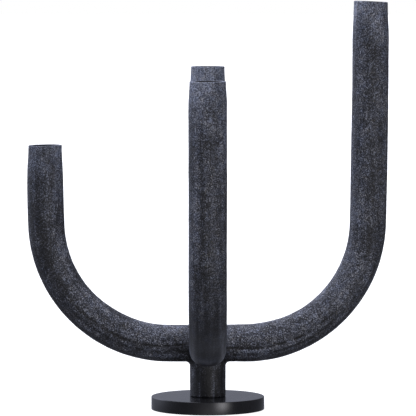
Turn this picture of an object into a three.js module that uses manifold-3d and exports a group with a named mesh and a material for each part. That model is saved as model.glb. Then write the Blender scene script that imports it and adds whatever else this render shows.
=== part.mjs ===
// Tabletop candelabra: four hollow cast arms rise from a crossed hub on a short stem, over a heavy
// round base. Millimetres, +Z up. The origin is on the floor, under the stem's axis.
// The right arm points along +X, the back arm along +Y; the arms end at three different heights.

import * as THREE from 'three';
import { mergeVertices } from 'three/addons/utils/BufferGeometryUtils.js';
import Module from 'manifold-3d';

// ---------------------------------------------------------------- driving dimensions

const GAP = 0.3; // play between pieces that touch
const SIDES = 24; // round sections of the castings; the hub's mitres need a multiple of 8

// base: a turned steel disc on a felt pad
const BASE_RADIUS = 57.8;
const BASE_TOP = 13.5;
const BASE_UNDERSIDE = 0.4;
const BASE_UPPER_EDGE = 0.6; // edge breaks
const BASE_LOWER_EDGE = 0.3;
const BASE_SIDES = 64;
const PAD_THICKNESS = 1.7;
const PAD_RECESS_RADIUS = 54.5;
const PAD_RECESS_TOP = PAD_THICKNESS + GAP;

// M6 button-head screw, its washers and its hole
const SCREW_RADIUS = 3;
const SCREW_LENGTH = 20;
const HEAD_RADIUS = 5.25;
const HEAD_HEIGHT = 3.3;
const HEAD_BOTTOM = 2.3;
const HEAD_EDGE = 1.6; // how far the domed head draws in at its end
const HEX_ACROSS_FLATS = 4;
const HEX_DEPTH = 2;
const WASHER_RADIUS = 6;
const WASHER_THICKNESS = 1.6;
const SPRING_WASHER_RADIUS = 5.9;
const SPRING_WASHER_SPLIT = 14; // degrees left open
const COUNTERBORE_RADIUS = 6.8;
const HARDWARE_SIDES = 24;

// stem, crossed hub and their joints; branches and arms share one size of bore
const AXIS_HEIGHT = 67.8; // the level of the four arms' axes at the hub
const STEM_RADIUS = 18.25;
const STEM_FOOT_EDGE = 1;
const PLUG_HEIGHT = 14;
const BRANCH_RADIUS = 18.8; // the hub's four level branches, and each arm's root
const FILLET = 4.5; // blend between the hub's branches and its stem
const JOINT_DISTANCE = 30; // from the hub's centre to each joint face
const BORE_RADIUS = 13.3; // the cored passage through every casting
const SLEEVE_RADIUS = BORE_RADIUS - GAP;
const SLEEVE_WALL = 3;
const SLEEVE_INNER_END = 20;
const SLEEVE_OUTER_END = 39;

// arms: a level run, an elbow, and a riser that leans out and bows upright
const RIM_EDGE = 0.8;
const ELBOW_STEPS = 11;
const RISER_STEPS = 3;
const TAPER_STEPS = 4;
const BORE_ELBOW_STEPS = 7;
const BORE_RISER_STEPS = 2;
const ARMS = {
  right: {
    heading: 0,
    run: 38,
    elbowRadius: 125.3,
    leanAtElbow: 1.25,
    leanAtTip: 0,
    riserRadius: 18.6,
    taperLength: 46,
    tipRadius: 17.2,
    tipHeight: 416.8,
    tipCut: 2.4,
  },
  back: {
    heading: 90,
    run: 38.9,
    elbowRadius: 125.2,
    leanAtElbow: 1.7,
    leanAtTip: -0.4,
    riserRadius: 19,
    taperLength: 32,
    tipRadius: 17.7,
    tipHeight: 344.1,
    tipCut: 1,
  },
  left: {
    heading: 180,
    run: 39.8,
    elbowRadius: 125,
    leanAtElbow: 2.2,
    leanAtTip: -0.8,
    riserRadius: 18.5,
    taperLength: 38,
    tipRadius: 16.9,
    tipHeight: 270.6,
    tipCut: 1.5,
  },
  front: {
    heading: -90,
    run: 38.9,
    elbowRadius: 125.2,
    leanAtElbow: 1.7,
    leanAtTip: -0.4,
    riserRadius: 19,
    taperLength: 32,
    tipRadius: 17.7,
    tipHeight: 342.8,
    tipCut: 1,
  },
};

// candle cups: steel liners for a 22 mm (7/8 inch) taper candle
const CUP_BORE_RADIUS = 11.2;
const CUP_RADIUS = BORE_RADIUS - GAP;
const CUP_DEPTH = 25;
const CUP_FLOOR = 2;
const CUP_RECESS = 2; // the cup's rim lies this far below the arm's
const CUP_SEAT = 30; // straight stretch of bore under each rim
const CUP_SEAT_LEAD_IN = 6;

const COLOURS = {
  casting: { color: 0x3c3d44, roughness: 0.62, metalness: 0.55 },
  coatedSteel: { color: 0x2a2b2f, roughness: 0.28, metalness: 0.35 },
  cupSteel: { color: 0x34353a, roughness: 0.45, metalness: 0.8 },
  zincSteel: { color: 0x9a9da1, roughness: 0.4, metalness: 1 },
  felt: { color: 0x161617, roughness: 1, metalness: 0 },
};

// ---------------------------------------------------------------- general shape helpers

const { degToRad: radians, lerp, smoothstep } = THREE.MathUtils;
const manifold = await Module();
manifold.setup();

// One named piece with its own material.
function piece(name, geometry, colours) {
  const mesh = new THREE.Mesh(geometry, new THREE.MeshStandardMaterial(colours));
  mesh.name = name;
  return mesh;
}

// A turned solid about Z. The outline is a list of [radius, height], anticlockwise in that plane.
// It starts and ends on the axis, or goes round a hole and is closed here.
function turned(outline, sides) {
  const points = outline.map(([radius, height]) => new THREE.Vector2(radius, height));
  const meetsAxis = points[0].x === 0;
  if (!meetsAxis) {
    points.push(points[0].clone());
  }
  return new THREE.LatheGeometry(points, sides).rotateX(Math.PI / 2);
}

function ringOutline(innerRadius, outerRadius, bottom, top) {
  return [[innerRadius, bottom], [outerRadius, bottom], [outerRadius, top], [innerRadius, top]];
}

// Triangles of the quads between two rings of points, facing outward where the rings turn
// anticlockwise about the direction from the first ring to the second.
function strip(ringA, ringB) {
  const corners = [];
  ringA.forEach((a, i) => {
    const next = (i + 1) % ringA.length;
    corners.push(a, ringA[next], ringB[next]);
    corners.push(a, ringB[next], ringB[i]);
  });
  return corners;
}

function geometryOf(corners) {
  const geometry = new THREE.BufferGeometry().setFromPoints(corners);
  geometry.computeVertexNormals();
  return geometry;
}

function solidOf(geometry) {
  const bare = geometry.clone();
  bare.deleteAttribute('normal');
  bare.deleteAttribute('uv');
  const merged = mergeVertices(bare, 1e-4);
  const vertProperties = merged.attributes.position.array;
  const triVerts = new Uint32Array(merged.index.array);
  return new manifold.Manifold(new manifold.Mesh({ numProp: 3, vertProperties, triVerts }));
}

function geometryOfSolid(solid) {
  const mesh = solid.getMesh();
  const geometry = new THREE.BufferGeometry();
  geometry.setAttribute('position', new THREE.BufferAttribute(mesh.vertProperties, 3));
  geometry.setIndex(new THREE.BufferAttribute(mesh.triVerts, 1));
  geometry.computeVertexNormals();
  return geometry;
}

function cut(geometry, ...tools) {
  const start = solidOf(geometry);
  const left = tools.reduce((solid, tool) => solid.subtract(solidOf(tool)), start);
  return geometryOfSolid(left);
}

// ---------------------------------------------------------------- base and fastening

function basePlate() {
  const holeRadius = SCREW_RADIUS + GAP;
  const seat = HEAD_BOTTOM + HEAD_HEIGHT + 2 * WASHER_THICKNESS + 3 * GAP;
  const outline = [
    [holeRadius, seat],
    [COUNTERBORE_RADIUS, seat],
    [COUNTERBORE_RADIUS, PAD_RECESS_TOP],
    [PAD_RECESS_RADIUS, PAD_RECESS_TOP],
    [PAD_RECESS_RADIUS, BASE_UNDERSIDE],
    [BASE_RADIUS - BASE_LOWER_EDGE, BASE_UNDERSIDE],
    [BASE_RADIUS, BASE_UNDERSIDE + BASE_LOWER_EDGE],
    [BASE_RADIUS, BASE_TOP - BASE_UPPER_EDGE],
    [BASE_RADIUS - BASE_UPPER_EDGE, BASE_TOP],
    [holeRadius, BASE_TOP],
  ];
  return piece('base_plate', turned(outline, BASE_SIDES), COLOURS.coatedSteel);
}

function feltPad() {
  const radius = PAD_RECESS_RADIUS - GAP;
  const outline = [[0, 0], [radius, 0], [radius, PAD_THICKNESS], [0, PAD_THICKNESS]];
  return piece('felt_pad', turned(outline, BASE_SIDES), COLOURS.felt);
}

function baseScrew() {
  const headTop = HEAD_BOTTOM + HEAD_HEIGHT;
  const outline = [
    [0, HEAD_BOTTOM],
    [HEAD_RADIUS - HEAD_EDGE, HEAD_BOTTOM],
    [HEAD_RADIUS - HEAD_EDGE / 3, HEAD_BOTTOM + HEAD_EDGE / 2],
    [HEAD_RADIUS, headTop],
    [SCREW_RADIUS, headTop],
    [SCREW_RADIUS, headTop + SCREW_LENGTH - 1],
    [SCREW_RADIUS - 1, headTop + SCREW_LENGTH],
    [0, headTop + SCREW_LENGTH],
  ];
  const hexRadius = HEX_ACROSS_FLATS / Math.sqrt(3);
  const socket = new THREE.CylinderGeometry(hexRadius, hexRadius, 2 * HEX_DEPTH, 6)
    .rotateX(Math.PI / 2)
    .translate(0, 0, HEAD_BOTTOM);
  return piece('base_screw', cut(turned(outline, HARDWARE_SIDES), socket), COLOURS.zincSteel);
}

function springWasher() {
  const start = radians(SPRING_WASHER_SPLIT / 2);
  const end = 2 * Math.PI - start;
  const shape = new THREE.Shape();
  shape.absarc(0, 0, SPRING_WASHER_RADIUS, start, end, false);
  shape.absarc(0, 0, SCREW_RADIUS + GAP, end, start, true);
  const bottom = HEAD_BOTTOM + HEAD_HEIGHT + GAP;
  const geometry = new THREE.ExtrudeGeometry(shape, {
    depth: WASHER_THICKNESS,
    bevelEnabled: false,
    curveSegments: HARDWARE_SIDES,
  }).translate(0, 0, bottom);
  return piece('spring_washer', geometry, COLOURS.zincSteel);
}

function flatWasher() {
  const bottom = HEAD_BOTTOM + HEAD_HEIGHT + WASHER_THICKNESS + 2 * GAP;
  const outline = ringOutline(SCREW_RADIUS + GAP, WASHER_RADIUS, bottom, bottom + WASHER_THICKNESS);
  return piece('flat_washer', turned(outline, HARDWARE_SIDES), COLOURS.zincSteel);
}

// ---------------------------------------------------------------- stem and its inner pieces

function stem() {
  const foot = BASE_TOP + GAP;
  const head = AXIS_HEIGHT - JOINT_DISTANCE - GAP / 2;
  const outline = [
    [BORE_RADIUS, foot],
    [STEM_RADIUS - STEM_FOOT_EDGE, foot],
    [STEM_RADIUS, foot + STEM_FOOT_EDGE],
    [STEM_RADIUS, head],
    [BORE_RADIUS, head],
  ];
  return piece('stem', turned(outline, SIDES), COLOURS.casting);
}

function stemPlug() {
  const foot = BASE_TOP + GAP;
  const outline = ringOutline(SCREW_RADIUS + GAP, SLEEVE_RADIUS, foot, foot + PLUG_HEIGHT);
  return piece('stem_plug', turned(outline, SIDES), COLOURS.zincSteel);
}

// A lining sleeve bridges each joint face inside the bore, centred on Z before it is turned.
function jointSleeve(name) {
  const innerRadius = SLEEVE_RADIUS - SLEEVE_WALL;
  const outline = ringOutline(innerRadius, SLEEVE_RADIUS, SLEEVE_INNER_END, SLEEVE_OUTER_END);
  return piece(name, turned(outline, SIDES), COLOURS.zincSteel);
}

// ---------------------------------------------------------------- hub

// Signed distance to two surfaces joined by a round fillet.
function filleted(a, b, fillet) {
  if (fillet <= 0) {
    return Math.min(a, b);
  }
  const inA = Math.max(fillet - a, 0);
  const inB = Math.max(fillet - b, 0);
  return Math.max(fillet, Math.min(a, b)) - Math.hypot(inA, inB);
}

// Signed distance to the hub's outside, from its centre. The fillet between the two level tubes
// fades out at the top of the crossing, where their surfaces run into each other.
function hubDistance(p) {
  const acrossRadius = Math.hypot(p.y, p.z);
  const alongRadius = Math.hypot(p.x, p.z);
  const sameFacing = (p.z * p.z) / Math.max(acrossRadius * alongRadius, 1e-6);
  const across = acrossRadius - BRANCH_RADIUS;
  const along = alongRadius - BRANCH_RADIUS;
  const level = filleted(across, along, FILLET * (1 - sameFacing));
  const upright = Math.max(Math.hypot(p.x, p.y) - STEM_RADIUS, p.z);
  return filleted(level, upright, FILLET);
}

function ontoHub(start) {
  const p = start.clone();
  const step = 1e-3;
  for (let pass = 0; pass < 12; pass += 1) {
    const slope = new THREE.Vector3();
    for (const axis of ['x', 'y', 'z']) {
      const ahead = p.clone();
      const behind = p.clone();
      ahead[axis] += step;
      behind[axis] -= step;
      slope[axis] = (hubDistance(ahead) - hubDistance(behind)) / (2 * step);
    }
    p.addScaledVector(slope, -hubDistance(p) / slope.lengthSq());
  }
  return p;
}

// The hub's outside is five branches. Each starts at its mitre with the neighbouring branches, and
// its points are then moved onto the filleted surface.
function hubShell() {
  const x = new THREE.Vector3(1, 0, 0);
  const y = new THREE.Vector3(0, 1, 0);
  const z = new THREE.Vector3(0, 0, 1);
  const minus = (v) => v.clone().negate();
  const branches = [
    [x, y, z],
    [minus(x), z, y],
    [y, z, x],
    [minus(y), x, z],
    [minus(z), y, x],
  ];
  const along = [0, 0.12, 0.26, 0.45, 1];
  const reach = JOINT_DISTANCE - GAP / 2;
  const corners = [];
  for (const [axis, u, v] of branches) {
    const rings = along.map((share) => {
      const ring = [];
      for (let i = 0; i < SIDES; i += 1) {
        const angle = (2 * Math.PI * i) / SIDES;
        const spoke = u.clone().multiplyScalar(Math.cos(angle)).addScaledVector(v, Math.sin(angle));
        const neighbours = branches.map(([other]) => other).filter((other) => other.dot(axis) === 0);
        const start = BRANCH_RADIUS * Math.max(...neighbours.map((other) => other.dot(spoke)));
        const point = spoke.clone().multiplyScalar(BRANCH_RADIUS);
        ring.push(ontoHub(point.addScaledVector(axis, start + share * (reach - start))));
      }
      return ring;
    });
    for (let i = 1; i < rings.length; i += 1) {
      corners.push(...strip(rings[i - 1], rings[i]));
    }
    const lastRing = rings[rings.length - 1];
    const hubEnd = axis.clone().multiplyScalar(reach);
    corners.push(...strip(lastRing, lastRing.map(() => hubEnd)).filter((_, i) => i % 6 < 3));
  }
  return geometryOf(corners);
}

function hub() {
  const long = 2 * JOINT_DISTANCE + 2;
  const bore = () => new THREE.CylinderGeometry(BORE_RADIUS, BORE_RADIUS, long, SIDES);
  const acrossBore = bore().rotateZ(Math.PI / 2);
  const foreAftBore = bore();
  const stemBore = bore().rotateX(Math.PI / 2).translate(0, 0, -long / 2);
  const geometry = cut(hubShell(), acrossBore, foreAftBore, stemBore);
  const mesh = piece('hub', geometry, COLOURS.casting);
  mesh.position.z = AXIS_HEIGHT;
  return mesh;
}

// ---------------------------------------------------------------- arms

// Moves a place on a centreline forward by a length, while its direction turns evenly.
function forward(place, length, turn) {
  const half = turn / 2;
  const chord = half === 0 ? length : (length * Math.sin(half)) / half;
  return {
    x: place.x + chord * Math.cos(place.angle + half),
    z: place.z + chord * Math.sin(place.angle + half),
    angle: place.angle + turn,
  };
}

// An arm's centreline in its own plane: +X outward from the hub's centre, +Z up.
function centreline(arm) {
  const elbowTurn = radians(90 - arm.leanAtElbow);
  const elbowLength = arm.elbowRadius * elbowTurn;
  const hubCentre = { x: 0, z: 0, angle: 0 };
  const elbowStart = forward(hubCentre, arm.run, 0);
  const elbowEnd = forward(elbowStart, elbowLength, elbowTurn);
  const riserTurn = radians(arm.leanAtElbow - arm.leanAtTip);
  const unitRiser = forward({ x: 0, z: 0, angle: elbowTurn }, 1, riserTurn);
  const riserLength = (arm.tipHeight - AXIS_HEIGHT - elbowEnd.z) / unitRiser.z;
  const elbowFrom = arm.run;
  const riserFrom = arm.run + elbowLength;
  const length = riserFrom + riserLength;
  const at = (distance) => {
    if (distance <= elbowFrom) {
      return forward(hubCentre, distance, 0);
    }
    if (distance <= riserFrom) {
      const share = (distance - elbowFrom) / elbowLength;
      return forward(elbowStart, share * elbowLength, share * elbowTurn);
    }
    const share = (distance - riserFrom) / riserLength;
    return forward(elbowEnd, share * riserLength, share * riserTurn);
  };
  return { at, elbowFrom, riserFrom, length };
}

// A ring of points square to the centreline. A slope tips it, with its outer side lower.
function ringAt(place, radius, slope) {
  const forwardWay = new THREE.Vector3(Math.cos(place.angle), 0, Math.sin(place.angle));
  const inward = new THREE.Vector3(-forwardWay.z, 0, forwardWay.x);
  const sideways = new THREE.Vector3(0, -1, 0);
  const ring = [];
  for (let i = 0; i < SIDES; i += 1) {
    const angle = (2 * Math.PI * i) / SIDES;
    const alongIn = radius * Math.cos(angle);
    const point = new THREE.Vector3(place.x, 0, place.z)
      .addScaledVector(inward, alongIn)
      .addScaledVector(sideways, radius * Math.sin(angle))
      .addScaledVector(forwardWay, alongIn * slope);
    ring.push(point);
  }
  return ring;
}

function evenSteps(from, to, count) {
  return Array.from({ length: count }, (_, i) => from + ((to - from) * (i + 1)) / count);
}

// One hollow arm: the outside from joint face to rim, then the bore from rim back to joint face.
function armShell(arm) {
  const line = centreline(arm);
  const root = JOINT_DISTANCE + GAP / 2;
  const taperFrom = line.length - arm.taperLength;
  const edgeFrom = line.length - RIM_EDGE;
  const rimSlope = Math.tan(radians(arm.tipCut));
  const outerStops = [
    root,
    arm.run,
    ...evenSteps(line.elbowFrom, line.riserFrom, ELBOW_STEPS),
    ...evenSteps(line.riserFrom, taperFrom, RISER_STEPS),
    ...evenSteps(taperFrom, edgeFrom, TAPER_STEPS),
    line.length,
  ];
  const boreStops = [
    root,
    arm.run,
    ...evenSteps(line.elbowFrom, line.riserFrom, BORE_ELBOW_STEPS),
    ...evenSteps(line.riserFrom, line.length - CUP_SEAT - CUP_SEAT_LEAD_IN, BORE_RISER_STEPS),
  ];
  const outside = outerStops.map((stop) => {
    const intoElbow = smoothstep(stop, line.elbowFrom, line.riserFrom);
    const intoTaper = smoothstep(stop, taperFrom, line.length);
    const riserRadius = lerp(BRANCH_RADIUS, arm.riserRadius, intoElbow);
    const radius = lerp(riserRadius, arm.tipRadius, intoTaper);
    const edge = stop === line.length ? RIM_EDGE : 0;
    return ringAt(line.at(stop), radius - edge, rimSlope * intoTaper);
  });
  const tip = line.at(line.length);
  const bore = [
    ...boreStops.map((stop) => ringAt(line.at(stop), BORE_RADIUS, 0)),
    ringAt(forward(tip, -CUP_SEAT, 0), BORE_RADIUS, 0),
    ringAt(tip, BORE_RADIUS, rimSlope),
  ];
  const rings = [...outside, ...bore.reverse()];
  const corners = rings.flatMap((ring, i) => strip(ring, rings[(i + 1) % rings.length]));
  return geometryOf(corners);
}

// A flat-floored cup whose rim is faced off parallel to the arm's slanting rim, a little below it.
function cupShell(slope) {
  const outline = [
    [0, -CUP_DEPTH - CUP_FLOOR],
    [CUP_RADIUS, -CUP_DEPTH - CUP_FLOOR],
    [CUP_RADIUS, -CUP_RECESS],
    [CUP_BORE_RADIUS, -CUP_RECESS],
    [CUP_BORE_RADIUS, -CUP_DEPTH],
    [0, -CUP_DEPTH],
  ];
  const geometry = turned(outline, SIDES);
  const points = geometry.attributes.position;
  for (let i = 0; i < points.count; i += 1) {
    if (Math.abs(points.getZ(i) + CUP_RECESS) < GAP) {
      points.setZ(i, -CUP_RECESS - points.getX(i) * slope);
    }
  }
  return geometry;
}

function armGroup(side, arm) {
  const group = new THREE.Group();
  group.position.z = AXIS_HEIGHT;
  group.rotation.z = radians(arm.heading);

  const sleeve = jointSleeve(`${side}_joint_sleeve`);
  sleeve.rotation.y = Math.PI / 2;

  const line = centreline(arm);
  const tip = line.at(line.length);
  const cup = piece(`${side}_candle_cup`, cupShell(Math.tan(radians(arm.tipCut))), COLOURS.cupSteel);
  cup.position.set(tip.x, 0, tip.z);
  cup.rotation.y = Math.PI / 2 - tip.angle;

  group.add(piece(`${side}_arm`, armShell(arm), COLOURS.casting), sleeve, cup);
  return group;
}

// ---------------------------------------------------------------- assembly

const candelabra = new THREE.Group();
candelabra.add(feltPad(), basePlate(), baseScrew(), springWasher(), flatWasher());

const stemSleeve = jointSleeve('stem_joint_sleeve');
stemSleeve.rotation.x = Math.PI;
stemSleeve.position.z = AXIS_HEIGHT;
candelabra.add(stem(), stemPlug(), stemSleeve, hub());

for (const [side, arm] of Object.entries(ARMS)) {
  candelabra.add(armGroup(side, arm));
}

export default candelabra;
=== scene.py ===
"""The looks of a four-armed, sand-cast candelabra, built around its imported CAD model.

The castings are one continuous rough skin, cut into the same pieces as the CAD: hub, stem and four
arms. Shapes are worked out in millimetres with Z up, and become metres when a mesh is made.
"""

import itertools
import math

import bpy
import numpy as np
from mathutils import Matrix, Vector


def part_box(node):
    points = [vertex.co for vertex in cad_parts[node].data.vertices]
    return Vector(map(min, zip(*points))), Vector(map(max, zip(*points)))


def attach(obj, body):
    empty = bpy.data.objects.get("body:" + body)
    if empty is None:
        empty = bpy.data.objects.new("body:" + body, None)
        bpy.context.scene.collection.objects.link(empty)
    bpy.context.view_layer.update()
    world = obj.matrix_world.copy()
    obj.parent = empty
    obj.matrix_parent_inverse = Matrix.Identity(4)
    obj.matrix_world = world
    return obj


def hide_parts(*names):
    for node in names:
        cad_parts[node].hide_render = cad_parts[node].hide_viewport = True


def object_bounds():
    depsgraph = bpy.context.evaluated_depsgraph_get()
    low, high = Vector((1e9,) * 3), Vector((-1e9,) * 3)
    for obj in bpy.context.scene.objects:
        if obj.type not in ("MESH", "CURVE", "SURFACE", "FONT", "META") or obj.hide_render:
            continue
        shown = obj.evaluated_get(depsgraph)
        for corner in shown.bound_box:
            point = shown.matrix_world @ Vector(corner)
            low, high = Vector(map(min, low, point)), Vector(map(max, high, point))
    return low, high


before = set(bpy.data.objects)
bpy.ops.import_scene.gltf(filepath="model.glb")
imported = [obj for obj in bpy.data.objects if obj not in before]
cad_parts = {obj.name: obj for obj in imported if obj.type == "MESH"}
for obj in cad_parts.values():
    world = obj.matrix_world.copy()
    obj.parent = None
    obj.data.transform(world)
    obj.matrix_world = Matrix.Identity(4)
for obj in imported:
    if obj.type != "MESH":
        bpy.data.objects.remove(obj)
cad_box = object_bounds()

MM = 0.001

# ------------------------------------------------------------ driving sizes, millimetres and degrees

AROUND = 112  # points round a casting; the hub's mitres need a multiple of 8
SPACING = 1.04  # between rings of points on a rough surface
BORE_SPACING = 9.0
CONTACT_GAP = 0.05
PLAY = 0.3  # round the pieces that lie inside the base
ON_SURFACE = 0.01  # a point this near to a surface lies on it

AXIS_HEIGHT = 67.8
BRANCH_RADIUS = 18.8
STEM_RADIUS = 18.25
STEM_FOOT_EDGE = 1.0
BORE_RADIUS = 13.3
FILLET = 4.5
JOINT_DISTANCE = 30.0
HUB_SOCKET_FLOOR = 19.5
RIM_EDGE = 0.5
RIM_INNER_EDGE = 0.3
EDGE_ROUGHNESS = 0.9  # share of the full relief, here and on the rim
RIM_ROUGHNESS = 0.6

# What the back and front arms share, then all four: an arm's shape, then its polish, wear and shade.
# A level is a height round the tube, from -1 underneath or outside to 1 on top or inside. A shade
# below 0 is lighter. Runs, elbows and leans are rounded from a fit to the photo's outlines.
MIDDLE_ARM = {
    "run": 38.9,
    "elbow_radius": 125.2,
    "lean_at_elbow": 1.7,
    "lean_at_tip": -0.4,
    "riser_radius": 19,
    "tip_cut": 1,
    "parting_level": -0.15,
    "heel_polish": 0.7,
    "heel_bulge": 0.8,
}
# outer_shade, run_shade and riser_shade are painted shade and light on each arm's outer side, run and
# riser, partly darker metal on the outer sides; heel_polish also scales the painted highlights along a
# heel
ARMS = {
    "right": {
        "heading": 0,
        "run": 38,
        "elbow_radius": 125.3,
        "lean_at_elbow": 1.25,
        "lean_at_tip": 0,
        "riser_radius": 18.6,
        "taper_length": 40,
        "tip_radius": 17.2,
        "tip_height": 416.8,
        "tip_cut": 2.4,
        "parting_level": -0.2,
        "heel_polish": 0.2,
        "heel_bulge": 0,
        "tip_wear": 1.25,
        "outer_shade": 0.25,
        "run_shade": -0.4,
        "riser_shade": -0.3,
    },
    "back": {
        **MIDDLE_ARM,
        "heading": 90,
        "taper_length": 32,
        "tip_radius": 17.7,
        "tip_height": 344.1,
        "tip_wear": 2.6,
        "outer_shade": 0.25,
        "run_shade": 0,
        "riser_shade": 0.1,
    },
    "left": {
        "heading": 180,
        "run": 39.8,
        "elbow_radius": 125,
        "lean_at_elbow": 2.2,
        "lean_at_tip": -0.8,
        "riser_radius": 18.5,
        "taper_length": 38,
        "tip_radius": 17.2,
        "tip_height": 270.6,
        "tip_cut": 1.5,
        "parting_level": -0.08,
        "heel_polish": 0.2,
        "heel_bulge": 0,
        "tip_wear": 2.1,
        "outer_shade": 0.95,
        "run_shade": -0.5,
        "riser_shade": 0.6,
    },
    "front": {
        **MIDDLE_ARM,
        "heading": -90,
        "taper_length": 24,
        "tip_radius": 17.9,
        "tip_height": 342.8,
        "tip_wear": 1.4,
        "outer_shade": 0.22,
        "run_shade": 0.3,
        "riser_shade": -0.3,
    },
}

CUP_BORE_RADIUS = 11.2
CUP_RADIUS = 13.0
CUP_DEPTH = 25.0
CUP_FLOOR = 2.0
CUP_RECESS = 2.0  # the cup's rim lies this far below the arm's
CUP_EDGE = 0.3
CUP_CORNER = 1.2
CUP_FACING = 1.0  # length of the rim that is faced off parallel to the arm's
CUP_WALL_STOPS = (-18, -9)  # heights of rings of points on the outside
CUP_FLOOR_STOPS = (7, 4, 0)  # radii of rings of points on the floor

SCREW_HOLE_RADIUS = 3.3
COUNTERBORE_PLAY = 0.8
BASE_UPPER_EDGE = 0.7
BASE_LOWER_EDGE = 0.35
PAD_EDGE = 0.5
PAD_FUZZ_TOP = 0.4  # the felt is fuzzy below this height

# ------------------------------------------------------------ relief, wear, and painted light and shade of the castings

# patterns: size of the feature across, height, and which noise it takes
SWELL = (75.0, 0.22, 1)
DENT = (12.0, 0.12, 2)
GRAIN = (3.1, 0.09, 3)
FINE_GRAIN = (1.9, 0.07, 4)
PARTING_WANDER = (30.0, 0.09, 31)
PARTING_BREAKS = (7.0, 1.0, 32)
PARTING_NIBBLES = (2.6, 0.5, 33)
PAD_FUZZ = (2.3, 0.09, 41)
PAD_FINE_FUZZ = (0.9, 0.06, 42)

PIT_NOISE = 5
PIT_CELL = 5.0
PIT_RADIUS = 1.5
PIT_DEPTH = 0.3
PIT_SHARE = 0.3  # of the cells that hold a pit
PIT_CURVE = 0.7  # below 1 for flatter floors
PIT_CREASE = 0.6  # how dark a pit is beside the parting line
SKIN_SETBACK = 0.02  # the rough skin's mean lies this far inside the CAD surface
THICKENINGS = (  # middle, reach and height of places where the casting is a little fuller
    ((54.0, 0.0, 88.0), 32.0, 1.0),
    ((-92.0, 0.0, 102.0), 26.0, 0.6),
)

PARTING_WIDTH = 1.1
PARTING_DEPTH = 0.9
PARTING_GAPS = (-0.4, 0.05)  # of its breaks: gone up to the first, whole from the second
PARTING_EVENNESS = 0.75
PARTING_FADING = 0.85
SECOND_LINE = 0.5  # share of the fainter line, as far again below the rubbed band
FLASH_BELOW = 3.4  # from the parting line down to the rubbed band under it
BAND_WIDTH = 0.7 * FLASH_BELOW
BAND_SMOOTHING = 0.5
BAND_WEAR = 0.35

# painted highlights along both sides of a polished heel, over its filed fin line, and painted light on
# the rubbed patch under the heel
FLASH_WEAR_AND_HIGHLIGHT = 2.4  # of the bright lines along both sides of a polished heel
FLASH_LEVEL = -0.33
FLASH_SPREAD = 0.13
UNDER_RUB_AND_PAINTED_LIGHT = 6.5  # of the rubbed patch under a polished heel
UNDER_LEVEL = -0.6
UNDER_SPREAD = 0.26
TIP_WEAR_REACH = 52.0
TIP_WEAR_CURVE = 1.6
FILLET_WEAR = 0.3

# shares of the full grain and streaks in the colour, and of the relief that is smoothed away
RUN_GRAIN = 1.25
RISER_GRAIN_LOSS = 0.2
WORN_GRAIN_LOSS = 0.08
RIM_GRAIN = 1.6
BORE_GRAIN = 0.4
HUB_GRAIN = 1.2
FILLET_GRAIN_LOSS = 0.5
STEM_GRAIN = 0.8
STEM_STREAKS = 3.6
# turns the stem's streaks so that the lightest lies where the right-front softbox's highlight falls: a
# painted highlight
STEM_HIGHLIGHT_TURN = -15.0  # places the stem's lightest streak
POLISH_SMOOTHING = 0.8
FILLET_SMOOTHING = 0.7

# painted shade: a ring round the bore's mouth, the bore, the undersides of the runs, the stem under the
# hub and arms, and the hub's fillets low down and on its left side
SHADED_RIM_WIDTH = 1.5  # width of the dark ring on the rim, round the bore
RIM_SHADE = 0.8
BORE_SHADE = 3.8
UNDERSIDE_SHADE = 1.6
STEM_SHADE = 1.9
LEFT_CREASE_SHADE = 0.8
# middle, reach and shade of darker (or, below 0, lighter) places on the castings; most middles were
# taken from where a render differed most from the photo
# these patches are painted shade and light, partly also blotches of darker and rubbed metal
BLOTCHES_OF_PAINTED_LIGHT_AND_SHADE = (
    ((177.0, -10.0, 177.0), 22.0, 1.2),
    ((187.0, -8.0, 362.0), 22.0, 0.8),
    ((154.0, -8.0, 412.0), 12.0, -1.9),
    ((122.0, -8.0, 127.0), 13.0, -0.8),
    ((157.0, -14.0, 150.0), 12.0, -0.8),
    ((86.0, -10.0, 86.0), 12.0, 0.7),
    ((45.0, -8.0, 52.0), 16.0, 0.9),
    ((-37.0, -15.0, 68.0), 12.0, 0.9),
    ((-66.0, -8.0, 89.0), 11.0, -0.7),
    ((-93.0, -8.0, 93.0), 18.0, 0.9),
    ((-143.0, -8.0, 165.0), 11.0, -2.6),
    ((-153.0, -8.0, 268.0), 10.0, -0.7),
    ((-6.0, -185.0, 284.0), 14.0, 0.9),
    ((0.0, -184.0, 336.0), 15.0, -0.8),
    ((4.0, -170.0, 147.0), 14.0, 0.7),
    ((-3.0, -88.0, 58.0), 15.0, -2.0),
)

# stretches of an arm, measured along it from the hub's centre
HEEL_STARTS = (22, 28)
UNDER_RUB_AND_LIGHT_ENDS = (54, 72)
FLASH_ENDS = (70, 120)
PARTING_ENDS = (80, 170)
RUN_GRAIN_ENDS = (90, 180)
BULGE_ENDS = (90, 200)
UNDERSIDE_ENDS = (110, 190)
POLISH_ENDS = (115, 215)
RISER_SHADE_STARTS = (120, 220)

# stretches of the depth round a tube, which is 1 at its lowest or outermost line and -1 opposite
POLISH_DEPTHS = (-0.1, 0.5)
OUTER_SHADE_DEPTHS = (-1.0, 0.5)
UNDERSIDE_DEPTHS = (0.6, 0.95)

# stretches at the hub: off its fillets, then from its centre down to its stem, down and across its
# creases, and outward
BLEND_ENDS = (FILLET * 0.6, FILLET * 1.6)
STEM_DEPTHS = (20, 28)
LOWER_CREASE_DEPTHS = (0, 10)
LEFT_CREASE_ACROSS = (-5, 5)
BULGE_STARTS = (19, JOINT_DISTANCE)
STREAKS_START = (18, 30)


# ------------------------------------------------------------ repeatable noise

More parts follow.
